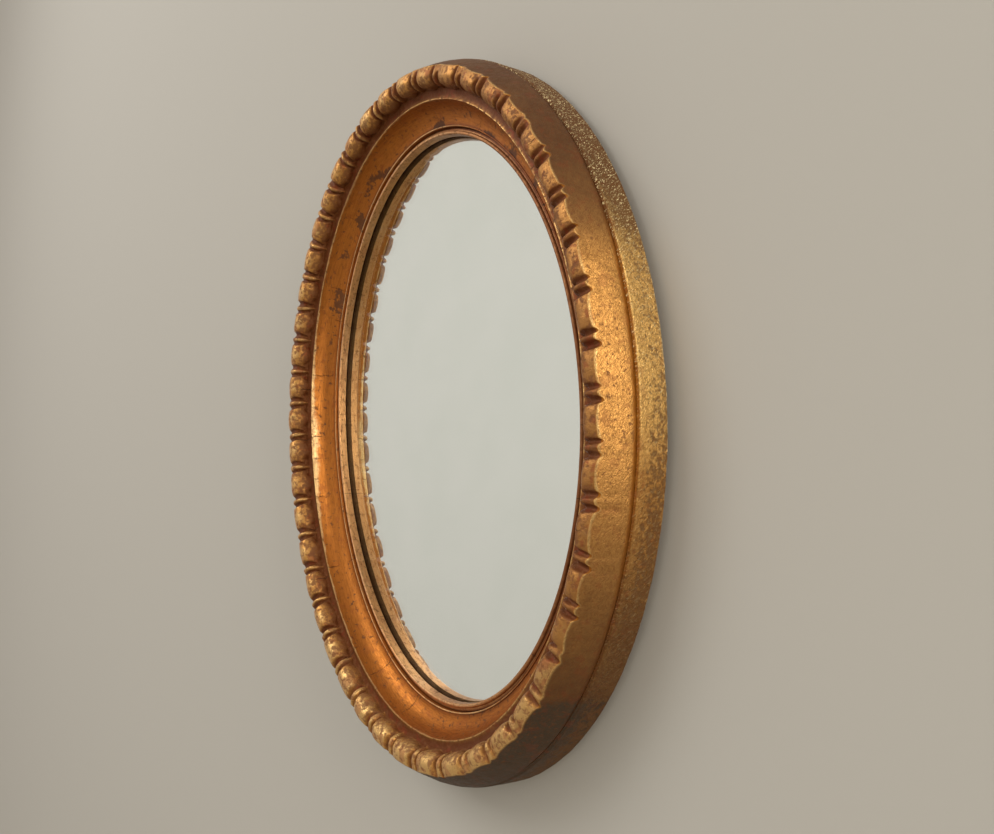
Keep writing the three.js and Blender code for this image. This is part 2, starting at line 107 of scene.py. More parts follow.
def washed_wood(name, slope):
    """Softwood under a thin brown wash, with its grain at a slope to the level."""
    material, tree, shader = new_material(name)
    along = grain_across(tree, slope)
    figure = node(tree, "TexNoise", Vector=along, Scale=260.0, Detail=4.0, Roughness=0.6).outputs["Fac"]
    pores = node(tree, "TexNoise", Vector=along, Scale=1500.0, Detail=2.0).outputs["Fac"]
    wash = node(tree, "TexNoise", Vector=along, Scale=70.0, Detail=3.0).outputs["Fac"]
    colour = blend(tree, ramp(tree, figure, 0.35, 0.68), rgba(WASHED_WOOD), rgba(WOOD_VESSEL))
    washed = maths(tree, "MULTIPLY", ramp(tree, wash, 0.42, 0.62), 0.7)
    colour = blend(tree, washed, colour, rgba(BRUSHED_WASH))
    open_pores = maths(tree, "MULTIPLY", ramp(tree, pores, 0.6, 0.72), 0.5)
    colour = blend(tree, open_pores, colour, rgba(WOOD_VESSEL))
    tree.links.new(colour, shader.inputs["Base Color"])
    rough = maths(tree, "ADD", maths(tree, "MULTIPLY", figure, 0.25), 0.6)
    tree.links.new(rough, shader.inputs["Roughness"])
    height = maths(tree, "ADD", maths(tree, "MULTIPLY", figure, 0.6), maths(tree, "MULTIPLY", pores, 0.4))
    bump = node(tree, "Bump", Strength=0.5, Distance=0.25 * MM, Height=height)
    tree.links.new(bump.outputs[0], shader.inputs["Normal"])
    return material


for arc, slope in zip(REAR_ARCS, GRAIN_SLOPES):
    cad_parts[arc].data.materials.clear()
    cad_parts[arc].data.materials.append(washed_wood(arc + "_wood", slope))

# ------------------------------------------------------------ rear layer: rough gilded side
# The side of the rear layer is coated with gesso put on coarsely with a stiff brush, then with red bole
# and loose leaf. It is the part that hands and brooms reach, so dirt and bare bole speckle it all over.
REAR_LOW, REAR_HIGH = (Vector(f(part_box(arc)[side][axis] for arc in REAR_ARCS) for axis in range(3))
                       for side, f in ((0, min), (1, max)))
HALF_WIDTH = (REAR_HIGH.x - REAR_LOW.x) / 2
HALF_HEIGHT = (REAR_HIGH.z - REAR_LOW.z) / 2
REAR_THICKNESS = REAR_HIGH.y - REAR_LOW.y
BEADS = 46
CREST_INSET = 9.9 * MM
GESSO = 0.25 * MM
REAR_LEAN = 0.9 * MM
GROOVE_DEPTH = 1.65 * MM
GROOVE_LIP = 0.9 * MM
SKIN_DEPTH = 0.3 * MM
SKIN_STATIONS = 1400
LEAF_GOLD = (0.560, 0.275, 0.074)
PALE_GOLD = (0.740, 0.455, 0.165)
BRIGHT_GOLD = (0.990, 0.600, 0.190)
CREAM_GOLD = (1.000, 0.800, 0.420)
RED_BOLE = (0.230, 0.040, 0.012)
BROWN_GLAZE = (0.150, 0.042, 0.009)
AMBER_GLAZE = (0.340, 0.115, 0.006)
BLACK_DIRT = (0.030, 0.020, 0.013)
BROWN_DIRT = (0.165, 0.056, 0.014)
SIDE_DIRT = (0.125, 0.055, 0.013)
BROWN_TONE_AND_SHADE = (0.085, 0.034, 0.011)
DARK_TONER = (0.062, 0.041, 0.022)


def oval_point(angle, inset):
    """Points inside the outer oval by inset, square to its edge, as arrays of X and Z."""
    across, up = np.cos(angle), np.sin(angle)
    out_x, out_z = HALF_HEIGHT * across, HALF_WIDTH * up
    length = np.hypot(out_x, out_z)
    return HALF_WIDTH * across - inset * out_x / length, HALF_HEIGHT * up - inset * out_z / length


SURVEY = np.linspace(0, 2 * np.pi, 14401) + np.pi / 2
survey_x, survey_z = oval_point(SURVEY, CREST_INSET)
survey_run = np.concatenate([[0], np.cumsum(np.hypot(np.diff(survey_x), np.diff(survey_z)))])
ROUND = survey_run[-1]
PITCH = ROUND / BEADS


def angle_at(run):
    """The angle of the ellipse at a length run along the crest of the beads, from the top to the left."""
    turns = np.floor(run / ROUND)
    return np.interp(run - turns * ROUND, survey_run, SURVEY) + 2 * np.pi * turns


def onto_frame(run, inset, height):
    """Points at (run, inset, height), as an array of X, Y and Z."""
    x, z = oval_point(angle_at(run), inset)
    return np.stack([x, -height + 0 * x, z], axis=-1)


def tooth(points, scale, seed):
    """Smooth noise between -1 and 1 at each point, at a scale in features per metre."""
    shift = Vector((seed * 3.1, seed * 1.7, seed * 2.3))
    flat = points.reshape(-1, 3) * scale
    values = np.fromiter((noise.noise(Vector(p) + shift) for p in flat), float, len(flat))
    return values.reshape(points.shape[:-1])


def toning_and_top_shade(place):
    """How much the side is toned: brown over the top, which is painted shade, and a dark tone below a ragged
    edge.
    """
    ragged = place[..., 2] / MM + 3.0 * tooth(place, 60, 8) + 1.2 * tooth(place, 400, 9)
    marks = [-200, -118, -114, -98, -78, -50, -25, 15, 35, 60, 85, 110, 150]
    shares = [1.0, 1.0, 0.8, 0.7, 0.5, 0.22, 0.0, 0.05, 0.6, 0.82, 0.82, 0.83, 0.83]
    return np.interp(ragged, marks, shares)


def ring_piece(name, run, grid, masks, materials, member=None):
    """A closed ring of moulding from a grid of points, stations by lines. masks are named values at the
    points, member the material of each strip of faces, and the lay map holds run and girth."""
    stations, lines = grid.shape[:2]
    corner = np.arange(stations * lines).reshape(stations, lines)
    ahead = np.roll(corner, -1, axis=0)
    beside = np.roll(corner, -1, axis=1)
    across = np.roll(ahead, -1, axis=1)
    quads = np.stack([corner, ahead, across, beside], axis=-1).reshape(-1, 4)
    mesh = bpy.data.meshes.new(name)
    mesh.from_pydata(grid.reshape(-1, 3).tolist(), [], quads.tolist())
    girth = np.linalg.norm(np.roll(grid, -1, axis=1) - grid, axis=-1).mean(axis=0)
    girth = np.concatenate([[0], np.cumsum(girth)])
    lay = mesh.uv_layers.new(name="lay")
    full_run = np.append(run, run[0] + ROUND)
    here_u, there_u = full_run[:-1, None] + 0 * corner, full_run[1:, None] + 0 * corner
    here_v, there_v = girth[None, :-1] + 0 * here_u, girth[None, 1:] + 0 * here_u
    loops = np.stack([here_u, here_v, there_u, here_v, there_u, there_v, here_u, there_v], axis=-1)
    lay.data.foreach_set("uv", loops.astype(np.float32).ravel())
    for mask, values in masks.items():
        attribute = mesh.attributes.new(mask, "FLOAT", "POINT")
        spread = np.broadcast_to(values, corner.shape).astype(np.float32)
        attribute.data.foreach_set("value", spread.ravel())
    for material in materials:
        mesh.materials.append(material)
    if member is not None:
        mesh.polygons.foreach_set("material_index", np.tile(member, stations).astype(np.int32))
    mesh.shade_smooth()
    mesh.set_sharp_from_angle(angle=math.radians(50))
    piece = bpy.data.objects.new(name, mesh)
    bpy.context.scene.collection.objects.link(piece)
    return piece


def along_line(corners, spacing):
    """Points about spacing apart along a line of corners, with every corner kept."""
    points = []
    for start, end in zip(corners[:-1], corners[1:]):
        count = max(1, round(math.dist(start, end) / spacing))
        points += [tuple(np.array(start) + (np.array(end) - start) * i / count) for i in range(count)]
    return points + [tuple(corners[-1])]


def make_gilding():
    """Gold leaf over red bole: glazed brown in the hollows, rubbed on the heights, with dirt on top."""
    group = bpy.data.node_groups.new("gilding", "ShaderNodeTree")
    for label, value in (("Leaf", LEAF_GOLD), ("Rubbed Leaf", PALE_GOLD), ("Glaze", BROWN_GLAZE),
                         ("Grime", BROWN_DIRT)):
        socket = group.interface.new_socket(label, in_out="INPUT", socket_type="NodeSocketColor")
        socket.default_value = rgba(value)
    for label, value in (("Recess", 0.0), ("Rubbed", 0.0), ("Toned_and_shaded", 0.0), ("Soiled", 0.0),
                         ("Glaze Patches", 0.3), ("Worn", 0.2), ("Dirt", 0.2), ("Dirt Scale", 700.0)):
        socket = group.interface.new_socket(label, in_out="INPUT", socket_type="NodeSocketFloat")
        socket.default_value = value
    group.interface.new_socket("Color", in_out="OUTPUT", socket_type="NodeSocketColor")
    for label in ("Metallic", "Roughness", "Height"):
        group.interface.new_socket(label, in_out="OUTPUT", socket_type="NodeSocketFloat")
    given = group.nodes.new("NodeGroupInput").outputs
    made = group.nodes.new("NodeGroupOutput").inputs
    place = node(group, "TexCoord").outputs["Object"]
    cloud = node(group, "TexNoise", Vector=place, Scale=48.0, Detail=3.0).outputs["Fac"]
    mottle = node(group, "TexNoise", Vector=place, Scale=420.0, Detail=4.0, Roughness=0.6).outputs["Fac"]
    fine = node(group, "TexNoise", Vector=place, Scale=2400.0, Detail=2.0).outputs["Fac"]
    patch = node(group, "TexNoise", {"noise_dimensions": "4D"}, Vector=place, W=7.0, Scale=240.0,
                 Detail=3.0, Roughness=0.5).outputs["Fac"]
    specks = node(group, "TexNoise", {"noise_dimensions": "4D"}, Vector=place, W=3.0, Detail=3.0,
                  Roughness=0.58, Scale=given["Dirt Scale"]).outputs["Fac"]
    uneven = maths(group, "MULTIPLY", maths(group, "ADD", cloud, mottle), 0.5)
    uneven = maths(group, "SUBTRACT", uneven, 0.5)
    glaze = maths(group, "ADD", given["Recess"], maths(group, "MULTIPLY", uneven, given["Glaze Patches"]))
    glaze = maths(group, "ADD", glaze, maths(group, "MULTIPLY", given["Glaze Patches"], 0.1))
    glaze = ramp(group, glaze, 0.0, 1.0)
    rub = maths(group, "ADD", given["Rubbed"], maths(group, "MULTIPLY", uneven, 2.2))
    rub = ramp(group, rub, 0.25, 0.95)
    colour = blend(group, rub, given["Leaf"], given["Rubbed Leaf"])
    colour = blend(group, glaze, colour, given["Glaze"])
    # The toned mask carries both the toner and the painted shade over the top of the side: brown up to about
    # 0.84, dark above that.
    toner_and_shade = maths(group, "ADD", given["Toned_and_shaded"], maths(group, "MULTIPLY", uneven, 0.5))
    toner_and_shade = maths(group, "MULTIPLY", ramp(group, toner_and_shade, 0.0, 1.0), ramp(group, given["Toned_and_shaded"], 0.0, 0.1))
    darkest = ramp(group, given["Toned_and_shaded"], 0.84, 0.95)
    tone_and_shade_colour = blend(group, darkest, rgba(BROWN_TONE_AND_SHADE), rgba(DARK_TONER))
    colour = blend(group, toner_and_shade, colour, tone_and_shade_colour)
    bare = maths(group, "ADD", maths(group, "MULTIPLY", given["Rubbed"], 0.05), patch)
    bare = maths(group, "MULTIPLY", ramp(group, bare, 0.56, 0.63), given["Worn"], clamp=True)
    colour = blend(group, bare, colour, rgba(RED_BOLE))
    soil = maths(group, "MULTIPLY", maths(group, "ADD", given["Dirt"], given["Soiled"]), 0.2)
    grime = ramp(group, maths(group, "ADD", specks, soil), 0.60, 0.76)
    colour = blend(group, maths(group, "MULTIPLY", grime, 0.8), colour, given["Grime"])
    covered = maths(group, "MAXIMUM", bare, grime)
    covered = maths(group, "MAXIMUM", covered, maths(group, "MULTIPLY", glaze, 0.55))
    covered = maths(group, "MAXIMUM", covered, maths(group, "MULTIPLY", toner_and_shade, 0.55))
    group.links.new(colour, made["Color"])
    open_leaf = maths(group, "SUBTRACT", 1.0, covered)
    group.links.new(maths(group, "MULTIPLY", open_leaf, 0.92), made["Metallic"])
    rough = maths(group, "MULTIPLY", covered, 0.3)
    rough = maths(group, "ADD", rough, maths(group, "MULTIPLY", mottle, 0.25))
    group.links.new(maths(group, "ADD", rough, 0.26), made["Roughness"])
    high = maths(group, "ADD", maths(group, "MULTIPLY", mottle, 0.7), maths(group, "MULTIPLY", fine, 0.3))
    sunk = maths(group, "ADD", maths(group, "MULTIPLY", bare, 0.15), maths(group, "MULTIPLY", grime, 0.2))
    group.links.new(maths(group, "SUBTRACT", high, sunk), made["Height"])
    return group


GILDING = make_gilding()


def make_brush_marks():
    """Short strokes of a stiff brush in the gesso, on the lay map: they slope across the moulding."""
    group = bpy.data.node_groups.new("brush_marks", "ShaderNodeTree")
    for label, value in (("Slope", 1.1), ("Length", 3.0), ("Width", 0.6)):
        socket = group.interface.new_socket(label, in_out="INPUT", socket_type="NodeSocketFloat")
        socket.default_value = value
    group.interface.new_socket("Height", in_out="OUTPUT", socket_type="NodeSocketFloat")
    given = group.nodes.new("NodeGroupInput").outputs
    made = group.nodes.new("NodeGroupOutput").inputs
    lay = node(group, "UVMap", {"uv_map": "lay"}).outputs[0]
    turned = node(group, "VectorRotate", {"rotation_type": "Z_AXIS"}, Vector=lay, Angle=given["Slope"])
    part = node(group, "SeparateXYZ", i0=turned.outputs[0])
    along = maths(group, "DIVIDE", part.outputs["X"], maths(group, "MULTIPLY", given["Length"], MM))
    across = maths(group, "DIVIDE", part.outputs["Y"], maths(group, "MULTIPLY", given["Width"], MM))
    where = node(group, "CombineXYZ", i0=along, i1=across, i2=0.0).outputs[0]
    stroke = node(group, "TexNoise", Vector=where, Scale=1.0, Detail=2.0, Roughness=0.5, Distortion=1.2)
    group.links.new(stroke.outputs["Fac"], made["Height"])
    return group


BRUSH_MARKS = make_brush_marks()


def make_hairlines():
    """Fine cracks square across the moulding, where the gesso has parted over the moving wood."""
    group = bpy.data.node_groups.new("hairlines", "ShaderNodeTree")
    spacing = group.interface.new_socket("Spacing", in_out="INPUT", socket_type="NodeSocketFloat")
    spacing.default_value = 18.0
    group.interface.new_socket("Crack", in_out="OUTPUT", socket_type="NodeSocketFloat")
    given = group.nodes.new("NodeGroupInput").outputs
    made = group.nodes.new("NodeGroupOutput").inputs
    lay = node(group, "UVMap", {"uv_map": "lay"}).outputs[0]
    wander = node(group, "TexNoise", Vector=lay, Scale=420.0, Detail=3.0).outputs["Fac"]
    here = node(group, "TexNoise", Vector=lay, Scale=55.0, Detail=1.0).outputs["Fac"]
    along = maths(group, "ADD", node(group, "SeparateXYZ", i0=lay).outputs["X"],
                  maths(group, "MULTIPLY", wander, 2.4 * MM))
    along = maths(group, "DIVIDE", along, maths(group, "MULTIPLY", given["Spacing"], MM))
    cells = node(group, "TexVoronoi", {"voronoi_dimensions": "1D", "feature": "DISTANCE_TO_EDGE"},
                 W=along, Scale=1.0)
    gap = maths(group, "MULTIPLY", cells.outputs["Distance"], given["Spacing"])
    crack = maths(group, "MULTIPLY", ramp(group, gap, 0.24, 0.05), ramp(group, here, 0.53, 0.62))
    group.links.new(crack, made["Crack"])
    return group


HAIRLINES = make_hairlines()


def gilded(name, relief, strokes=None, streaks=0.0, painted_glints=0.0, cracks=None, **values):
    """A gilded finish: the shared gilding with its own values, the masks of the mesh and its relief.
    strokes are the share, slope, length and width of the brush marks, streaks and painted_glints how dark
    and how bright they lie, the glints being painted highlights, and cracks the spacing of the hairlines in
    millimetres."""
    material, tree, shader = new_material(name)
    leaf = node(tree, "Group", {"node_tree": GILDING})
    for mask in ("recess", "rubbed", "toned_and_shaded", "soiled"):
        read = node(tree, "Attribute", {"attribute_name": mask}).outputs["Fac"]
        tree.links.new(read, leaf.inputs[mask.capitalize()])
    for label, value in values.items():
        leaf.inputs[label.replace("_", " ")].default_value = value
    colour = leaf.outputs["Color"]
    height = leaf.outputs["Height"]
    if strokes:
        share, slope, length, width = strokes
        marks = node(tree, "Group", {"node_tree": BRUSH_MARKS}, Slope=slope, Length=length, Width=width)
        marks = marks.outputs["Height"]
        height = maths(tree, "ADD", maths(tree, "MULTIPLY", height, 1 - share),
                       maths(tree, "MULTIPLY", marks, share))
        lows = maths(tree, "MULTIPLY", ramp(tree, marks, 0.54, 0.36), streaks)
        colour = blend(tree, lows, colour, rgba(BROWN_GLAZE))
        # Painted highlight: glints of pale leaf painted on the ridges of the brush marks, where the glint
        # mask allows.
        bright = node(tree, "Attribute", {"attribute_name": "painted_glint"}).outputs["Fac"]
        bright = maths(tree, "MULTIPLY", bright, painted_glints)
        glint_highlights = maths(tree, "MULTIPLY", ramp(tree, marks, 0.57, 0.68), bright)
        colour = blend(tree, glint_highlights, colour, values.get("Rubbed_Leaf", rgba(PALE_GOLD)))
    if cracks:
        crack = node(tree, "Group", {"node_tree": HAIRLINES}, Spacing=cracks).outputs["Crack"]
        height = maths(tree, "SUBTRACT", height, crack)
        colour = blend(tree, maths(tree, "MULTIPLY", crack, 0.6), colour, rgba(BLACK_DIRT))
    tree.links.new(colour, shader.inputs["Base Color"])
    tree.links.new(leaf.outputs["Metallic"], shader.inputs["Metallic"])
    tree.links.new(leaf.outputs["Roughness"], shader.inputs["Roughness"])
    shader.inputs["Specular IOR Level"].default_value = 0.25
    bump = node(tree, "Bump", Strength=1.0, Distance=relief, Height=height)
    tree.links.new(bump.outputs[0], shader.inputs["Normal"])
    return material


rough_gilding = gilded("rough_gilding", 1.0 * MM, strokes=(0.4, 0.9, 1.5, 0.42), streaks=0.45, painted_glints=0.8,
                       Leaf=rgba(BRIGHT_GOLD), Rubbed_Leaf=rgba(CREAM_GOLD), Glaze=rgba(AMBER_GLAZE),
                       Grime=rgba(SIDE_DIRT), Glaze_Patches=0.35, Worn=0.25, Dirt=0.6, Dirt_Scale=590.0)

rear_side = along_line([(0.6 * MM, -0.02 * MM), (0.0, 0.55 * MM), (REAR_LEAN, REAR_THICKNESS - GROOVE_LIP),
                        (GROOVE_DEPTH - 0.2 * MM, REAR_THICKNESS - 0.5 * GROOVE_LIP),
                        (GROOVE_DEPTH, REAR_THICKNESS)], 0.45 * MM)

# The skin stands proud of the wood by the gesso and its lumps, which are coarser towards the wall.
rear_run = np.linspace(0, ROUND, SKIN_STATIONS, endpoint=False) + PITCH / 4
side_inset = np.array([p[0] for p in rear_side])
side_height = np.array([p[1] for p in rear_side])
share_up = np.clip(side_height / REAR_THICKNESS, 0, 1)
outer = onto_frame(rear_run[:, None], side_inset[None, :], side_height[None, :])
lumps = 0.10 * MM * tooth(outer, 330, 1) + 0.07 * MM * tooth(outer, 900, 2) + 0.08 * MM * tooth(outer, 90, 3)
coarse = 0.35 + 0.65 * np.clip((0.85 - share_up) / 0.5, 0, 1)
proud = GESSO + lumps * coarse * np.clip((1 - share_up) / 0.12, 0.15, 1)
outer = onto_frame(rear_run[:, None], side_inset[None, :] - proud, side_height[None, :])
inner = onto_frame(rear_run[:, None], side_inset[None, ::-1] + SKIN_DEPTH,
                   side_height[None, ::-1].clip(0.05 * MM))

# Brown toner and amber glaze lie low down, brown painted shade over the top, dirt on the upper side, and
# painted glints in bright strokes above the middle.
level = outer[..., 2]
rear_toned_and_shaded = np.maximum(toning_and_top_shade(outer), np.interp(level, [-0.09, -0.045, -0.02], [0.65, 0.2, 0.0]))
amber = np.interp(level, [-0.05, -0.015], [0.6, 0.0])
groove_glaze = np.clip((share_up - 0.93) / 0.03, 0.05, 1)
lip_rubbed = 0.55 * np.exp(-((share_up - 0.91) / 0.02) ** 2)
edge_rubbed = 0.9 * np.exp(-((share_up - 0.03) / 0.04) ** 2)
soil_across = np.interp(share_up, [0, 0.08, 0.5, 0.7, 0.85], [0.0, 0.6, 0.4, 0.0, -0.4])
soil_along = np.interp(level, [-0.07, -0.03, 0.0, 0.03, 0.055], [0.1, -0.25, -0.4, -0.1, 0.9])
# Painted highlights: the glints on the stroke ridges grow towards the top of the side.
painted_glint_share = np.interp(level, [-0.12, -0.10, -0.04, 0.0, 0.05], [0.0, 0.15, 0.2, 0.6, 1.0])
inside = np.zeros_like(level)
rear_masks = {
    "toned_and_shaded": np.concatenate([rear_toned_and_shaded, inside], axis=1),
    "recess": np.concatenate([np.maximum(amber, groove_glaze), inside + 1], axis=1),
    "rubbed": np.concatenate([lip_rubbed + edge_rubbed, inside[0]]),
    "soiled": np.concatenate([soil_across + soil_along, inside], axis=1),
    "painted_glint": np.concatenate([painted_glint_share, inside], axis=1),
}
rear_skin = ring_piece("rear_side_gilding", rear_run, np.concatenate([outer, inner], axis=1), rear_masks,
                       [rough_gilding])
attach(rear_skin, "frame")

# ------------------------------------------------------------ front layer: carved rim and cove
# The front layer is cut to a side band, a half-round row, a hollow flat, a cove and a fillet. The row is
# carved by hand: fat beads, and between every two a thin reel left standing between two gouge cuts.
FRONT_ARCS = ["carved_ring_upper_left", "carved_ring_lower_left", "carved_ring_lower_right",
              "carved_ring_upper_right"]
CREST = max(-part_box(arc)[0].y for arc in FRONT_ARCS)
LEDGE = -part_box(FRONT_ARCS[0])[1].y
BAND_TOP = CREST - 0.75 * MM
ARRIS = CREST - 7.4 * MM
BAND_FOOT_INSET = 1.2 * MM
BAND_FOOT = REAR_THICKNESS + 1.2 * MM
BAND_INSET = 6.3 * MM
BAND_CURVE = 1.25
ROW_INSET = 14.9 * MM
FLAT_HOLLOW = 0.4 * MM
ARRIS_INSET = 18.5 * MM
COVE_WIDTH = 7.9 * MM
COVE_DROP = 9.5 * MM
FILLET_INSET = ARRIS_INSET + COVE_WIDTH
FILLET = ARRIS - COVE_DROP + 0.3 * MM
SIGHT_INSET = FILLET_INSET + 0.6 * MM
TONGUE_INSET = 18.3 * MM
HEART = np.array([10.3 * MM, 20.0 * MM])

# The carver paced the reels by eye: their spacing drifts round the oval, and no two cuts are the same.
FIRST_REEL = 4.0 * MM
REEL_SINK = 0.5 * MM
BEAD_ROUND = 0.5 * MM
BEAD_ROUND_AT_ARRIS = 0.6 * MM
ROW_DRAWN_IN = 1.1 * MM
WIDE_CUT = (-2.3 * MM, 1.7 * MM, 1.8 * MM)
THIN_CUT = (1.95 * MM, 1.3 * MM, 1.45 * MM)
hand = np.random.default_rng(46)
beads = np.arange(BEADS)
lap = 2 * np.pi * beads / BEADS
drift = 0.55 * np.cos(lap) - 2.2 * np.sin(lap) + 2.0 * np.cos(2 * lap) - 1.0 * np.sin(2 * lap)
reel_run = FIRST_REEL + beads * PITCH + drift * MM + hand.normal(0, 0.3 * MM, BEADS)
slant = hand.normal(0, 0.35 * MM, BEADS)
cut_depth = hand.uniform(0.8, 1.15, (BEADS, 2))
cut_width = hand.uniform(0.85, 1.12, (BEADS, 2))
cut_start = hand.uniform(-0.30, -0.02, (BEADS, 2))
cut_end = hand.uniform(0.84, 0.97, (BEADS, 2))
bead_size = hand.uniform(0.9, 1.08, BEADS)

# Stations along the row, close together in the cuts.
near_reel = np.array([0, 0.3, 0.6, 0.9, 1.25, 1.6, 2.0, 2.4, 2.8, 3.2, 3.6, 4.0, 4.4, 4.9, 5.6, 6.5,
                      7.4]) * MM
front_run, reel_of = [], []
for k in range(BEADS):
    behind = (reel_run[k] - reel_run[k - 1]) % ROUND / 2
    ahead = (reel_run[(k + 1) % BEADS] - reel_run[k]) % ROUND / 2
    for step in np.concatenate([-near_reel[:0:-1], near_reel]):
        stretch = (ahead if step > 0 else behind) / (PITCH / 2)
        front_run.append(reel_run[k] + step * stretch)
        reel_of.append(k)
front_run, reel_of = np.array(front_run), np.array(reel_of)
stations = len(front_run)

# The section, as lists of (inset, height): band, row, flat and cove, fillet and back.
band_share = np.linspace(0, 1, 22)


def on_band(share):
    """A point of the band's curve, from its foot to its arris."""
    return np.stack([BAND_FOOT_INSET + (BAND_INSET - BAND_FOOT_INSET) * share ** BAND_CURVE,
                     BAND_FOOT + (BAND_TOP - BAND_FOOT) * share], axis=-1)


shoulder_share = np.linspace(0.1, 0.92, 8)
shoulder = np.stack([BAND_INSET + (CREST_INSET - BAND_INSET) * shoulder_share,
                     CREST - (CREST - BAND_TOP) * (1 - shoulder_share) ** 2], axis=-1)
flank_turn = np.radians(np.linspace(0, 90, 20))
flank = np.stack([CREST_INSET + (ROW_INSET - CREST_INSET) * np.sin(flank_turn),
                  ARRIS + (CREST - ARRIS) * np.cos(flank_turn)], axis=-1)
flat_share = np.array([0.12, 0.3, 0.5, 0.7, 0.86, 0.96])
flat = np.stack([ROW_INSET + (ARRIS_INSET - ROW_INSET) * flat_share,
                 ARRIS - FLAT_HOLLOW * 4 * flat_share * (1 - flat_share)], axis=-1)
cove_turn = np.radians(np.linspace(0, 90, 22))
cove = np.stack([ARRIS_INSET + COVE_WIDTH * (1 - np.cos(cove_turn)), ARRIS - COVE_DROP * np.sin(cove_turn)],
                axis=-1)
cove[0] += (0.0, -0.1 * MM)
step_down = [(FILLET_INSET + 0.02 * MM, FILLET - 0.05 * MM), (FILLET_INSET + 0.08 * MM, FILLET),
             (SIGHT_INSET - 0.1 * MM, FILLET), (SIGHT_INSET, FILLET - 0.1 * MM)]
back = [(SIGHT_INSET, LEDGE + 2 * MM), (SIGHT_INSET, LEDGE + 0.05 * MM), (TONGUE_INSET, LEDGE + 0.05 * MM),
        (TONGUE_INSET, REAR_THICKNESS), (GROOVE_DEPTH + 0.3 * MM, REAR_THICKNESS)]
foot = [(GROOVE_DEPTH, REAR_THICKNESS + 0.05 * MM), (BAND_FOOT_INSET + 0.35 * MM, BAND_FOOT - 0.45 * MM)]
members = [("foot", foot), ("band", on_band(band_share)), ("shoulder", shoulder), ("flank", flank),
           ("flat", flat), ("cove", cove), ("step", step_down), ("back", back)]
section = np.concatenate([np.array(points) for _, points in members])
part_of = np.array([name for name, points in members for _ in points])
lines = len(section)
in_band = part_of == "band"
in_cove = part_of == "cove"
in_row = np.isin(part_of, ["shoulder", "flank"])
arris_line = np.where(in_band)[0][-1]

# The share of the way over the row, from the band's arris at 0 to the flat at 1.
over = np.zeros(lines)
row_lines = np.concatenate([[arris_line], np.where(in_row)[0]])
row_girth = np.concatenate([[0], np.cumsum(np.linalg.norm(np.diff(section[row_lines], axis=0), axis=1))])
over[row_lines] = row_girth / row_girth[-1]

# How far each point of the row lies from its reel, and how deep it is carved there.
offset = front_run[:, None] - reel_run[reel_of][:, None]
offset = offset - slant[reel_of][:, None] * (2 * over[None] - 1)
behind = ((reel_run - np.roll(reel_run, 1)) % ROUND / 2)[reel_of][:, None]
ahead = ((np.roll(reel_run, -1) - reel_run) % ROUND / 2)[reel_of][:, None]
half_pitch = np.where(offset >= 0, ahead, behind)
edge = np.where(offset >= 0, THIN_CUT[0] + THIN_CUT[1], WIDE_CUT[1] - WIDE_CUT[0])
nose = np.clip((over[None] - 0.6) / 0.4, 0, 1)
bead_half = (half_pitch - edge) * (1 - 0.3 * nose ** 2) * bead_size[reel_of][:, None]
along_bead = np.clip((half_pitch - np.abs(offset)) / bead_half, 0, 1.6)
at_arris = np.clip(1 - over[None] / 0.3, 0, 1)
round_off = BEAD_ROUND + (BEAD_ROUND_AT_ARRIS - BEAD_ROUND) * at_arris + 0.35 * MM * nose
carve = round_off * np.clip(along_bead, 0, 1.25) ** 2.4
reel_rise = np.exp(-(offset / (0.75 * MM)) ** 2)
carve = carve + (REEL_SINK - carve) * reel_rise * (carve > REEL_SINK)
cut_mask = np.zeros((stations, lines))
row_angle = angle_at(front_run)
closed = np.clip(np.abs(np.sin(row_angle)) / 0.45 - 0.9, 0, 1) * np.clip(np.cos(row_angle) / 0.3, 0, 1)
for side, (place, half_width, deepest) in enumerate((WIDE_CUT, THIN_CUT)):
    start = cut_start[reel_of, side][:, None] + 0.26 * closed[:, None]
    end = cut_end[reel_of, side][:, None]
    lens = np.clip(1 - (2 * (over[None] - start) / (end - start) - 1) ** 2, 0, 1)
    taper = np.interp(over, [0.0, 0.35, 0.7, 1.0], [1.0, 1.0, 0.62, 0.4])[None]
    width = half_width * cut_width[reel_of, side][:, None] * (0.35 + 0.65 * lens ** 0.6) * taper
    hollow = np.clip(1 - ((offset - place * (0.55 + 0.45 * taper)) / width) ** 2, 0, 1)
    share = hollow * lens ** 0.5 * cut_depth[reel_of, side][:, None]
    carve = carve + deepest * share
    cut_mask = np.maximum(cut_mask, share)
carve *= (over > 0)[None] | (np.arange(lines) == arris_line)[None]
cut_mask *= (in_row | (np.arange(lines) == arris_line))[None]

# In the cuts the arris slides down the band, and the rest of the row is pressed towards its heart.
band_length = np.linalg.norm(on_band(1.0) - on_band(0.0))
slid = 1 - carve[:, arris_line] / band_length
moved = np.broadcast_to(section, (stations, lines, 2)).copy()
moved[:, in_band] = on_band(band_share[None, :] * slid[:, None])
slide = moved[:, arris_line] - section[arris_line]
towards = HEART - section
towards /= np.linalg.norm(towards, axis=1)[:, None]
pressed = carve[:, :, None] * towards[None]
settle = np.clip(over / 0.2, 0, 1)
settle = (settle * settle * (3 - 2 * settle))[None, :, None]
moved[:, in_row] += (slide[:, None, :] * (1 - settle) + pressed * settle)[:, in_row]

# Towards the top and the bottom the row keeps a little further from the edge than it does at the sides.
band_rise = BAND_TOP - BAND_FOOT
draw_in = np.select([in_band, in_row], [section[:, 1] - BAND_FOOT, band_rise], 0) / band_rise
draw_in = np.where(in_row, 1 - over ** 2, draw_in)
moved[..., 0] += ROW_DRAWN_IN * np.sin(row_angle)[:, None] ** 2 * draw_in[None]

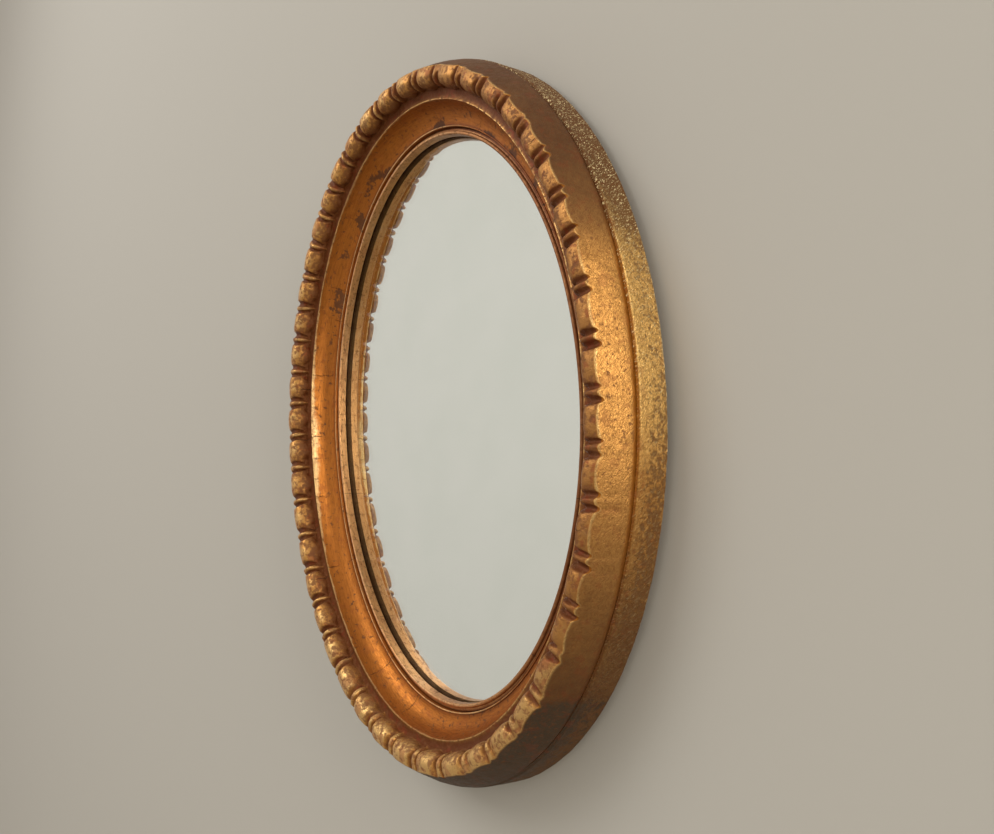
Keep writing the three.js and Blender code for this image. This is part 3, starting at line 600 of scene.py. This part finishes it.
# No surface is quite true: the tools and the gesso leave it a little uneven.
rough_place = onto_frame(front_run[:, None], moved[..., 0], moved[..., 1])
uneven = 0.17 * MM * tooth(rough_place, 150, 4) + 0.09 * MM * tooth(rough_place, 520, 5)
share_uneven = np.select([part_of == "back", in_cove, in_row | in_band, part_of == "flat"],
                         [0.0, 0.45, 1.0, 0.7], 0.15)
moved += (uneven * share_uneven)[:, :, None] * towards[None]
grid = onto_frame(front_run[:, None], moved[..., 0], moved[..., 1])

# Where the glaze stays, where the leaf is rubbed, and where the side is toned, with painted shade over its
# top.
recess = np.clip(cut_mask * 1.5, 0, 1)
inner_glaze = 0.8 * np.clip((over - 0.5) / 0.4, 0, 1) * (1 - 0.6 * reel_rise)
recess[:, in_row] += (0.25 * np.clip(along_bead - 0.75, 0, 1) + inner_glaze)[:, in_row]
recess[:, part_of == "foot"] = (0.9, 1.0)
recess[:, np.where(in_band)[0][:3]] = (0.9, 0.6, 0.2)
recess[:, part_of == "flat"] = (1.0, 0.95, 0.85, 0.7, 0.5, 0.1)
cove_share = np.linspace(0, 1, int(in_cove.sum()))
recess[:, in_cove] = 0.12 + 0.5 * np.clip((cove_share - 0.85) / 0.15, 0, 1)
recess[:, part_of == "step"] = (0.7, 0.1, 0.0, 0.4)
# Painted shade: the fillet step is glazed darker and its bright lines are dimmed towards the right side.
right_step_shade = np.clip(grid[:, part_of == "step", 0] / (60 * MM), 0, 1)
recess[:, part_of == "step"] += 0.55 * right_step_shade
recess[:, part_of == "back"] = (0.4, 1.0, 1.0, 1.0, 1.0)
rubbed = np.zeros((stations, lines))
bead_ends = np.clip(1.15 - along_bead, 0, 1) * np.clip((0.75 - over) / 0.35, 0, 1)
rubbed[:, in_row] = (0.8 * bead_ends)[:, in_row]
reel_backs = reel_rise * (cut_mask < 0.25) * np.clip((0.9 - over) / 0.1, 0, 1) * in_row
rubbed = np.maximum(rubbed, 0.85 * reel_backs)
rubbed *= np.clip(1 - 2.0 * cut_mask, 0, 1)

# The beads at the right are glazed darker as painted shade for the dark room they face, and those at the
# bottom are made paler as a painted highlight.
right_row_shade = np.clip(grid[..., 0] / (70 * MM), 0, 1) * in_row
recess += 0.38 * right_row_shade
rubbed *= 1 - 0.6 * right_row_shade
low_row_highlight = np.clip((-grid[..., 2] / MM - 85) / 30, 0, 1) * in_row
rubbed += 0.6 * low_row_highlight * np.clip(1 - 2.0 * cut_mask, 0, 1)
recess *= 1 - 0.45 * low_row_highlight
rubbed[:, arris_line] = np.clip(0.95 - cut_mask[:, arris_line], 0.2, 1)
rubbed[:, arris_line - 1] = 0.55
rubbed[:, part_of == "flat"] = (0, 0, 0, 0.15, 0.35, 0.95)
# The pale band down the cove by its arris is rubbed leaf, widened on the left about the middle height into a
# painted highlight.
cove_highlight_width = 0.05 + 0.2 * np.exp(-(grid[:, 0, 2] / (38 * MM)) ** 2) * (grid[:, 0, 0] < 0)
rubbed[:, in_cove] = np.exp(-(cove_share / cove_highlight_width[:, None]) ** 2)
rubbed[:, part_of == "step"] = np.array((0, 0.8, 0.9, 0.3)) * (1 - 0.8 * right_step_shade)
toned_and_shaded = np.zeros((stations, lines))
side_lines = in_band | (part_of == "foot")
toned_and_shaded[:, side_lines] = toning_and_top_shade(grid[:, side_lines])
toned_and_shaded[:, arris_line] *= 0.5

# Dark smudges lie in the depth of the cove towards the top, and dirt where the beads end at the flat.
smudge = np.clip((tooth(grid[:, in_cove], 75, 11) - 0.1) / 0.25, 0, 1)
smudge *= np.clip((cove_share - 0.35) / 0.3, 0, 1)
smudge *= np.clip((grid[:, in_cove, 2] - 50 * MM) / (40 * MM), 0, 1)
soiled = np.zeros((stations, lines))
soiled[:, in_cove] = 2.0 * smudge
soiled[:, in_row] = (0.35 * np.clip((over - 0.25) / 0.4, 0, 1) * (1 - reel_rise))[:, in_row]

COVE_GOLD = (0.470, 0.160, 0.027)
RUBBED_COVE_GOLD = (0.920, 0.600, 0.270)
COVE_GLAZE = (0.130, 0.030, 0.006)
COVE_DIRT = (0.055, 0.021, 0.008)
brushed_gilding = gilded("brushed_band_gilding", 0.36 * MM, strokes=(0.5, 0.5, 1.3, 0.45), streaks=0.4,
                         Glaze=rgba(AMBER_GLAZE), Glaze_Patches=0.5, Worn=0.2, Dirt=0.2)
carved_gilding = gilded("carved_gilding", 0.34 * MM, cracks=26.0, Glaze_Patches=0.9, Worn=0.5, Dirt=0.6,
                        Dirt_Scale=520.0)
cove_gilding = gilded("cove_gilding", 0.20 * MM, strokes=(0.5, 0.04, 6.0, 0.45), streaks=0.35, cracks=17.0,
                      Leaf=rgba(COVE_GOLD), Rubbed_Leaf=rgba(RUBBED_COVE_GOLD), Glaze=rgba(COVE_GLAZE),
                      Grime=rgba(COVE_DIRT), Glaze_Patches=0.8, Worn=0.2, Dirt=0.25, Dirt_Scale=500.0)
member = np.select([side_lines, np.isin(part_of, ["shoulder", "flank", "flat"])], [0, 1], 2)
rim_masks = {"recess": np.clip(recess, 0, 1), "rubbed": rubbed, "toned_and_shaded": toned_and_shaded, "soiled": soiled}
carved_rim = ring_piece("carved_rim", front_run, grid, rim_masks,
                        [brushed_gilding, carved_gilding, cove_gilding], member)
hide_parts(*FRONT_ARCS)
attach(carved_rim, "frame")

# ------------------------------------------------------------ sight slip
# A thin oval moulding, turned and gilded by itself and dropped in behind the fillet. It keeps the frame
# off the silvering and ends the gold with one small rounded arris above the glass.
SLIP_BACK = -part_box("sight_slip")[1].y
SLIP_FRONT = -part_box("sight_slip")[0].y
SLIP_INSET = HALF_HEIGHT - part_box("sight_slip")[1].z
SLIP_WIDTH = 2.8 * MM
SLIP_STEP = 1.2 * MM
SLIP_ROUND = 0.5 * MM
SLIP_STATIONS = 1100
SLIP_GOLD = (0.640, 0.320, 0.125)
RUBBED_SLIP_GOLD = (0.800, 0.500, 0.250)
slip_turn = np.radians(np.linspace(0, 90, 6))
slip_profile = [(0, SLIP_BACK), (0, SLIP_FRONT - SLIP_STEP)]
slip_profile += [(0.30 * SLIP_WIDTH, SLIP_FRONT - SLIP_STEP + 0.2 * MM)]
slip_profile += [(SLIP_WIDTH * (0.42 + 0.29 * (1 - math.cos(t))),
                  SLIP_FRONT - SLIP_STEP * 0.75 * (1 - math.sin(t))) for t in slip_turn]
slip_profile += [(SLIP_WIDTH - SLIP_ROUND + SLIP_ROUND * math.sin(t),
                  SLIP_FRONT - SLIP_ROUND * (1 - math.cos(t))) for t in slip_turn]
slip_profile += [(SLIP_WIDTH, SLIP_BACK + 1.5 * MM), (SLIP_WIDTH, SLIP_BACK)]
slip_line = np.array(along_line(slip_profile, 0.35 * MM)[:-1])
slip_run = np.linspace(0, ROUND, SLIP_STATIONS, endpoint=False) + PITCH / 4
slip_place = onto_frame(slip_run[:, None], SLIP_INSET + slip_line[None, :, 0], slip_line[None, :, 1])
slip_lumps = 0.05 * MM * tooth(slip_place, 210, 6) * (slip_line[None, :, 1] > SLIP_BACK + 2 * MM)
slip_grid = onto_frame(slip_run[:, None], SLIP_INSET + slip_line[None, :, 0],
                       slip_line[None, :, 1] + np.minimum(slip_lumps, 0.0))
# Painted shade: the slip is glazed darker and its rounded arris is dimmed towards the right side.
right_slip_shade = np.clip(slip_grid[..., 0] / (60 * MM), 0, 1)
slip_recess = np.clip(1 - slip_line[:, 0] / (0.9 * MM), 0, 1) * 0.8 + 0.6 * right_slip_shade
slip_rubbed = np.exp(-((slip_line[:, 0] - SLIP_WIDTH + SLIP_ROUND) / SLIP_ROUND) ** 2) * (1 - 0.8 * right_slip_shade)
slip_gilding = gilded("slip_gilding", 0.16 * MM, strokes=(0.3, 0.05, 5.0, 0.5), streaks=0.3, cracks=22.0,
                      Leaf=rgba(SLIP_GOLD), Rubbed_Leaf=rgba(RUBBED_SLIP_GOLD), Glaze_Patches=0.8,
                      Worn=0.2, Dirt=0.35)
slip = ring_piece("sight_slip_gilded", slip_run, slip_grid,
                  {"recess": slip_recess, "rubbed": slip_rubbed * 0.8}, [slip_gilding])
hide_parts("sight_slip")
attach(slip, "frame")

# ------------------------------------------------------------ mirror glass
# An oval of clear drawn glass, three millimetres thick and faintly green, with its edge ground. Its back
# is silvered and painted, so that the rim is mirrored one thickness of glass behind the slip.
GLASS_BACK = -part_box("mirror_glass")[1].y
GLASS_FRONT = -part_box("mirror_glass")[0].y
GLASS_INSET = HALF_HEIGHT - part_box("mirror_glass")[1].z
SILVER_THICKNESS = 0.15 * MM
GLASS_BEVEL = 0.3 * MM
PLATE_STATIONS = 720


def oval_plate(name, inset, back_height, front_height, bevel, material):
    """A flat oval plate with eased edges."""
    run = np.linspace(0, ROUND, PLATE_STATIONS, endpoint=False)
    rims = [(inset + bevel, back_height), (inset, back_height + bevel), (inset, front_height - bevel),
            (inset + bevel, front_height)]
    points = np.concatenate([onto_frame(run, i, h) for i, h in rims])
    count = len(run)
    faces = [list(range(count))[::-1], [3 * count + i for i in range(count)]]
    for rim in range(3):
        for i in range(count):
            here = rim * count + i
            there = rim * count + (i + 1) % count
            faces.append([here, there, there + count, here + count])
    mesh = bpy.data.meshes.new(name)
    mesh.from_pydata(points.tolist(), [], faces)
    mesh.materials.append(material)
    mesh.shade_smooth()
    mesh.set_sharp_from_angle(angle=math.radians(20))
    piece = bpy.data.objects.new(name, mesh)
    bpy.context.scene.collection.objects.link(piece)
    return piece


clear_glass, _, glass_shader = new_material("clear_glass")
glass_shader.inputs["Base Color"].default_value = rgba((0.965, 0.985, 0.955))
glass_shader.inputs["Roughness"].default_value = 0.0
glass_shader.inputs["IOR"].default_value = 1.52
glass_shader.inputs["Transmission Weight"].default_value = 1.0

silvering, silver_tree, silver_shader = new_material("silvering")
silver_shader.inputs["Metallic"].default_value = 1.0
silver_shader.inputs["Roughness"].default_value = 0.015
silver_place = node(silver_tree, "TexCoord").outputs["Object"]
tarnish = node(silver_tree, "TexNoise", Vector=silver_place, Scale=35.0, Detail=3.0).outputs["Fac"]
silver_tone = blend(silver_tree, ramp(silver_tree, tarnish, 0.3, 0.75), rgba((0.930, 0.945, 0.925)),
                    rgba((0.900, 0.922, 0.895)))
silver_tree.links.new(silver_tone, silver_shader.inputs["Base Color"])

glass = oval_plate("mirror_glass_plate", GLASS_INSET, GLASS_BACK + SILVER_THICKNESS, GLASS_FRONT - 0.02 * MM,
                   GLASS_BEVEL, clear_glass)
silver = oval_plate("mirror_silvering", GLASS_INSET + 0.1 * MM, GLASS_BACK + 0.02 * MM,
                    GLASS_BACK + SILVER_THICKNESS - 0.01 * MM, 0.02 * MM, silvering)
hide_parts("mirror_glass")
for plate in (glass, silver):
    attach(plate, "frame")

# ------------------------------------------------------------ backing board
# Thin brown fibreboard cut to the rebate. It keeps the silvering from knocks, and has gone patchy with
# damp and handling.
board_finish, board_tree, board_shader = new_material("brown_board")
board_place = node(board_tree, "TexCoord").outputs["Object"]
fibres = node(board_tree, "TexNoise", Vector=board_place, Scale=900.0, Detail=4.0, Roughness=0.7)
fibres = fibres.outputs["Fac"]
stains = node(board_tree, "TexNoise", Vector=board_place, Scale=22.0, Detail=4.0).outputs["Fac"]
board_colour = blend(board_tree, ramp(board_tree, fibres, 0.35, 0.7), rgba((0.30, 0.19, 0.11)),
                     rgba((0.20, 0.12, 0.066)))
board_stain = maths(board_tree, "MULTIPLY", ramp(board_tree, stains, 0.5, 0.66), 0.5)
board_colour = blend(board_tree, board_stain, board_colour, rgba((0.13, 0.078, 0.045)))
board_tree.links.new(board_colour, board_shader.inputs["Base Color"])
board_shader.inputs["Roughness"].default_value = 0.85
board_bump = node(board_tree, "Bump", Strength=0.4, Distance=0.15 * MM, Height=fibres)
board_tree.links.new(board_bump.outputs[0], board_shader.inputs["Normal"])
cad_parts["backing_board"].data.materials.clear()
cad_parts["backing_board"].data.materials.append(board_finish)

# ------------------------------------------------------------ sprigs
# Eight flat tapered nails of cut steel, driven flat over the board into the wall of the rebate. They are
# blued, with rust starting in the scale.
sprig_steel, sprig_tree, sprig_shader = new_material("cut_steel")
sprig_place = node(sprig_tree, "TexCoord").outputs["Object"]
rust = node(sprig_tree, "TexNoise", Vector=sprig_place, Scale=1100.0, Detail=4.0).outputs["Fac"]
rust_share = ramp(sprig_tree, rust, 0.48, 0.62)
sprig_tree.links.new(blend(sprig_tree, rust_share, rgba((0.20, 0.20, 0.21)), rgba((0.13, 0.048, 0.02))),
                     sprig_shader.inputs["Base Color"])
bare_steel = maths(sprig_tree, "SUBTRACT", 0.95, rust_share, clamp=True)
sprig_tree.links.new(bare_steel, sprig_shader.inputs["Metallic"])
sprig_rough = maths(sprig_tree, "ADD", maths(sprig_tree, "MULTIPLY", rust_share, 0.4), 0.38)
sprig_tree.links.new(sprig_rough, sprig_shader.inputs["Roughness"])
for i in range(1, 9):
    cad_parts[f"sprig_{i}"].data.materials.clear()
    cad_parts[f"sprig_{i}"].data.materials.append(sprig_steel)

# ------------------------------------------------------------ hanger
# A brass plate let in flush at the top of the back, rolled to a loop that holds a D-shaped wire ring,
# and two slotted brass screws. All of it has tarnished brown.
hanger_brass, brass_tree, brass_shader = new_material("tarnished_brass")
brass_place = node(brass_tree, "TexCoord").outputs["Object"]
tarnish_noise = node(brass_tree, "TexNoise", Vector=brass_place, Scale=300.0, Detail=4.0).outputs["Fac"]
scratches = node(brass_tree, "TexNoise", Vector=brass_place, Scale=2600.0, Detail=2.0).outputs["Fac"]
tarnish_share = ramp(brass_tree, tarnish_noise, 0.4, 0.66)
brass_tree.links.new(blend(brass_tree, tarnish_share, rgba((0.62, 0.43, 0.16)), rgba((0.24, 0.14, 0.055))),
                     brass_shader.inputs["Base Color"])
brass_shader.inputs["Metallic"].default_value = 0.95
brass_rough = maths(brass_tree, "ADD", maths(brass_tree, "MULTIPLY", tarnish_share, 0.25), 0.26)
brass_tree.links.new(brass_rough, brass_shader.inputs["Roughness"])
brass_bump = node(brass_tree, "Bump", Strength=0.25, Distance=0.05 * MM, Height=scratches)
brass_tree.links.new(brass_bump.outputs[0], brass_shader.inputs["Normal"])
for name in ("hanger_plate", "hanger_screw_left", "hanger_screw_right", "hanging_ring"):
    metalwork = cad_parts[name]
    metalwork.data.materials.clear()
    metalwork.data.materials.append(hanger_brass)

# ------------------------------------------------------------ wall, floor, light and camera
# The mirror hangs on a plain pale wall that sweeps out into the floor. The wall lets the eye through from
# behind, and its part behind the mirror lets the light through, so that the back can be looked at.
WALL_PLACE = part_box("hanger_plate")[1].y + 0.2 * MM
WALL_COLOUR = (0.485, 0.462, 0.402)
FLOOR_LEVEL = -0.75
SWEEP = 0.25
WALL_HALF_WIDTH = 1.8
WALL_HEIGHT = 1.6
OPENING_INSET = 4 * MM
sweep_line = [(WALL_PLACE - SWEEP * (1 - math.cos(t)), FLOOR_LEVEL + SWEEP * (1 - math.sin(t)))
              for t in np.radians(np.linspace(0, 90, 13))]
sweep_line += [(-2.2, FLOOR_LEVEL)]
wall_sides = (-WALL_HALF_WIDTH, WALL_HALF_WIDTH)
wall_points = [(x, y, z) for x in wall_sides for y, z in sweep_line]
count = len(sweep_line)
wall_faces = [(i, i + 1, count + i + 1, count + i) for i in range(count - 1)]
sweep_top = FLOOR_LEVEL + SWEEP
wall_corners = [math.atan2(z, x) for z in (sweep_top, WALL_HEIGHT) for x in wall_sides]
rays = np.unique(np.concatenate([np.linspace(-math.pi, math.pi, 241)[:-1], wall_corners]))
rise = np.where(np.sin(rays) > 0, WALL_HEIGHT, -sweep_top)
reach = np.minimum(WALL_HALF_WIDTH / np.maximum(np.abs(np.cos(rays)), 1e-9),
                   rise / np.maximum(np.abs(np.sin(rays)), 1e-9))
opening_x, opening_z = oval_point(rays, OPENING_INSET)
first = len(wall_points)
wall_points += [(x, WALL_PLACE, z) for x, z in zip(opening_x, opening_z)]
wall_points += [(r * math.cos(t), WALL_PLACE, r * math.sin(t)) for r, t in zip(reach, rays)]
count = len(rays)
wall_faces += [(first + i, first + count + i, first + count + (i + 1) % count, first + (i + 1) % count)
               for i in range(count)]
wall_faces.append([first + i for i in range(count)])
wall_mesh = bpy.data.meshes.new("wall_and_floor")
wall_mesh.from_pydata(wall_points, [], wall_faces)
wall_mesh.shade_smooth()
wall = bpy.data.objects.new("wall_and_floor", wall_mesh)
bpy.context.scene.collection.objects.link(wall)


def wall_paint(name, lets_light_through):
    """Matt paint that the eye passes from behind, and light too where the mirror's back needs it."""
    material, tree, shader = new_material(name)
    shader.inputs["Base Color"].default_value = rgba(WALL_COLOUR)
    shader.inputs["Roughness"].default_value = 0.9
    passed = node(tree, "NewGeometry").outputs["Backfacing"]
    if lets_light_through:
        seen = node(tree, "LightPath").outputs["Is Camera Ray"]
        passed = maths(tree, "MAXIMUM", passed, maths(tree, "SUBTRACT", 1.0, seen))
    clear = node(tree, "BsdfTransparent").outputs[0]
    mixed = node(tree, "MixShader", i0=passed, i1=shader.outputs[0], i2=clear)
    tree.links.new(mixed.outputs[0], tree.nodes["Material Output"].inputs["Surface"])
    return material


wall_mesh.materials.append(wall_paint("wall_paint", False))
wall_mesh.materials.append(wall_paint("wall_paint_behind_mirror", True))
wall_mesh.polygons[-1].material_index = 1

world = bpy.data.worlds.new("room")
bpy.context.scene.world = world
world.use_nodes = True
room = world.node_tree
ROOM_ABOVE = (0.695, 0.650, 0.617)
ROOM_BELOW = (0.500, 0.460, 0.425)
upward = node(room, "SeparateXYZ", i0=node(room, "TexCoord").outputs["Generated"]).outputs["Z"]
room_colour = blend(room, ramp(room, upward, -0.7, 0.5), rgba(ROOM_BELOW), rgba(ROOM_ABOVE))
room.links.new(room_colour, room.nodes["Background"].inputs["Color"])
room.nodes["Background"].inputs["Strength"].default_value = 1.0


def soft_lamp(name, place, size, power, colour):
    """A large soft lamp that looks at the middle of the mirror."""
    lamp = bpy.data.lights.new(name, "AREA")
    lamp.shape = "RECTANGLE"
    lamp.size, lamp.size_y = size
    lamp.energy = power
    lamp.color = colour
    holder = bpy.data.objects.new(name, lamp)
    bpy.context.scene.collection.objects.link(holder)
    holder.location = place
    holder.rotation_mode = "QUATERNION"
    holder.rotation_quaternion = (-Vector(place)).to_track_quat("-Z", "Y")


soft_lamp("window_right", place=(1.35, -0.30, 0.20), size=(0.5, 0.8), power=8.5, colour=(1.0, 0.97, 0.92))
soft_lamp("window_left", place=(-0.50, -1.3, 1.10), size=(0.9, 0.9), power=11.5, colour=(0.97, 0.98, 1.0))

# The camera stands to the right of the mirror and a little below it, close enough for the near side of
# the frame to look much larger than the far side. It is set by its distance and angles, then turned a
# little off the centre of the mirror and tilted.
CAMERA_AZIMUTH = 53.336
CAMERA_ELEVATION = -12.935
CAMERA_DISTANCE = 0.3446
CAMERA_YAW = 3.063
CAMERA_PITCH = 0.896
CAMERA_ROLL = 4.884
CAMERA_VIEW = 800 / 994
SENSOR = 36

turn, lift = math.radians(CAMERA_AZIMUTH), math.radians(CAMERA_ELEVATION)
back_of_camera = Vector((math.sin(turn) * math.cos(lift), -math.cos(turn) * math.cos(lift), math.sin(lift)))
right_of_camera = (-back_of_camera).cross(Vector((0, 0, 1))).normalized()
up_of_camera = right_of_camera.cross(-back_of_camera)
axes = Matrix((right_of_camera, up_of_camera, back_of_camera))
roll = Matrix.Rotation(math.radians(CAMERA_ROLL), 3, "Z")
pitch = Matrix.Rotation(math.radians(CAMERA_PITCH), 3, "X")
yaw = Matrix.Rotation(math.radians(CAMERA_YAW), 3, "Y")
axes = roll @ pitch @ yaw @ axes
camera_data = bpy.data.cameras.new("camera")
camera_data.sensor_width = SENSOR
camera_data.lens = SENSOR * CAMERA_VIEW
camera_data.clip_start = 0.01
camera_data.clip_end = 20
camera = bpy.data.objects.new("camera", camera_data)
bpy.context.scene.collection.objects.link(camera)
camera.matrix_world = Matrix.Translation(back_of_camera * CAMERA_DISTANCE) @ axes.transposed().to_4x4()
bpy.context.scene.camera = camera
bpy.context.scene.view_settings.view_transform = "Standard"
